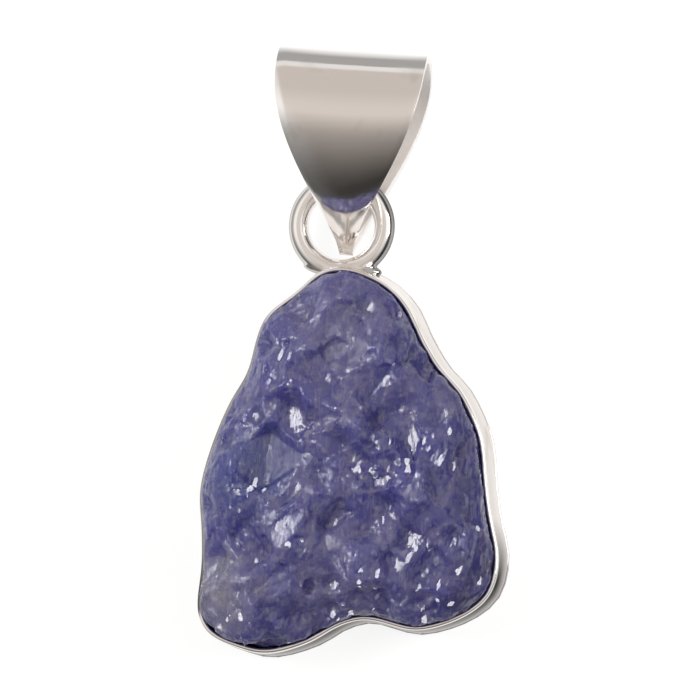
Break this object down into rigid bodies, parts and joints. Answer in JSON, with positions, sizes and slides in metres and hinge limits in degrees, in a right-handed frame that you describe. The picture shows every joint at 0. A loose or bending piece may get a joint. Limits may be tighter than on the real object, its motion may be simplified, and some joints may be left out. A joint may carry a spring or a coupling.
{
  "type": "rough tanzanite pendant",
  "caption": "Rough violet-blue tanzanite in a plain silver bezel with a flat back, a soldered ring and a tapered folded bail that swings in the ring and takes a chain.",
  "frame": {"origin": "the underside of the back plate, below the middle of the stone", "axes": "+Z out of the stone's face, +Y from the stone to the bail, +X to the right seen from the front"},
  "size_m": [0.0163, 0.0319, 0.0071],
  "materials": {
    "tanzanite": "broken, chipped crystal with sharp bright facets, see-through and violet-blue",
    "silver": "hand-polished sterling silver"
  },
  "bodies": {
    "pendant": {"back_plate": "silver", "bezel": "silver", "tanzanite": "tanzanite", "jump_ring": "silver"},
    "bail": {"bail": "silver"}
  },
  "joints": [
    {"name": "bail_swing", "type": "hinge", "parent": "pendant", "child": "bail", "pos_m": [-0.0005, 0.01463, 0.0014], "axis": [1, 0, 0], "range_deg": [-2, 40]}
  ]
}
